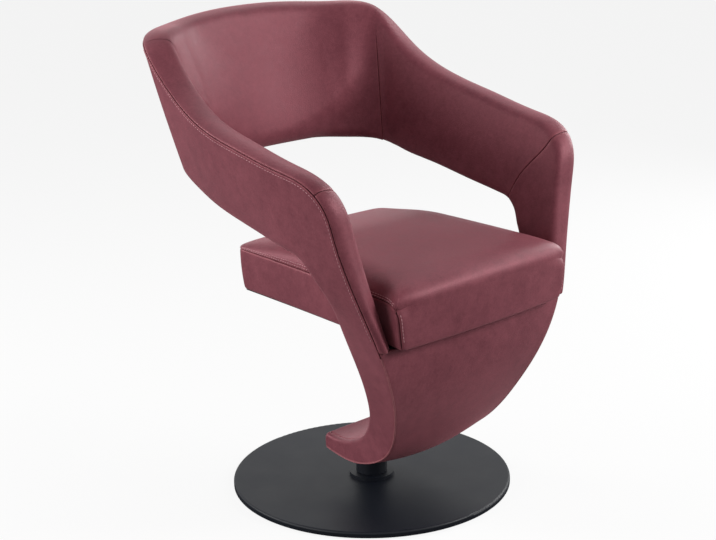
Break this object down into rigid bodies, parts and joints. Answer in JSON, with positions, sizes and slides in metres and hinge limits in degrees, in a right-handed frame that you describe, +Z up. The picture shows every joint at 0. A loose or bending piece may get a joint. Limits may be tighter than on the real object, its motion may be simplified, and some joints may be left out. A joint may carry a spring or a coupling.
{
  "type": "swivel armchair",
  "caption": "Upholstered leather armchair whose arms, posts and curved foot are one band, turning on a steel column above a round floor disc.",
  "frame": {"origin": "on the floor, on the swivel axis, at the centre of the felt pad under the disc", "axes": "+Z up along the swivel axis; the chair faces -Y; +X is the right side seen from the front"},
  "size_m": [0.616, 0.6226, 0.8267],
  "materials": {
    "leather": "dusty burgundy leather, fine grain, soft sheen",
    "foam": "moulded upholstery foam",
    "black_powder_coat": "matt black powder coat on steel",
    "frame_paint": "primed steel",
    "bright_steel": "plain machined steel",
    "grey_felt": "pressed grey felt",
    "plywood": "birch plywood",
    "lining_cloth": "black non-woven cloth",
    "bearing_plastic": "natural acetal"
  },
  "bodies": {
    "base": {"floor_pad": "grey_felt", "base_disc": "black_powder_coat", "spindle": "bright_steel", "disc_screws": "bright_steel", "thrust_race_lower": "bright_steel", "spindle_washer": "bright_steel", "spindle_bolt": "bright_steel"},
    "ball_cage": {"bearing_cage": "bearing_plastic", "bearing_balls": "bright_steel"},
    "chair": {"arm_foam_left": "foam", "arm_foam_right": "foam", "arm_inner_cover_left": "leather", "arm_inner_cover_right": "leather", "back_foam": "foam", "back_inner_cover": "leather", "back_outer_cover": "leather", "bearing_housing": "black_powder_coat", "bush_lower": "bearing_plastic", "bush_upper": "bearing_plastic", "cross_tube": "frame_paint", "foot_foam": "foam", "foot_front_cover": "leather", "foot_plate": "frame_paint", "foot_rear_cover": "leather", "frame_rod": "frame_paint", "plate_screws": "bright_steel", "post_foam_left": "foam", "post_foam_right": "foam", "post_inner_cover_left": "leather", "post_inner_cover_right": "leather", "seat_base_cloth": "lining_cloth", "seat_board": "plywood", "seat_board_screws": "bright_steel", "seat_border_left": "leather", "seat_border_rear": "leather", "seat_border_right": "leather", "seat_foam": "foam", "seat_top_cover": "leather", "side_cover_left": "leather", "side_cover_right": "leather", "spine_left": "frame_paint", "spine_right": "frame_paint", "thrust_race_upper": "bright_steel", "toe_cover": "leather"}
  },
  "joints": [
    {"name": "swivel", "type": "hinge", "parent": "base", "child": "chair", "pos_m": [0, 0, 0.05], "axis": [0, 0, 1], "continuous": true},
    {"name": "cage_turn", "type": "hinge", "parent": "base", "child": "ball_cage", "pos_m": [0, 0, 0.024], "axis": [0, 0, 1], "continuous": true}
  ],
  "couplings": [
    {"joint": "cage_turn", "follows": "swivel", "ratio": 0.5}
  ]
}
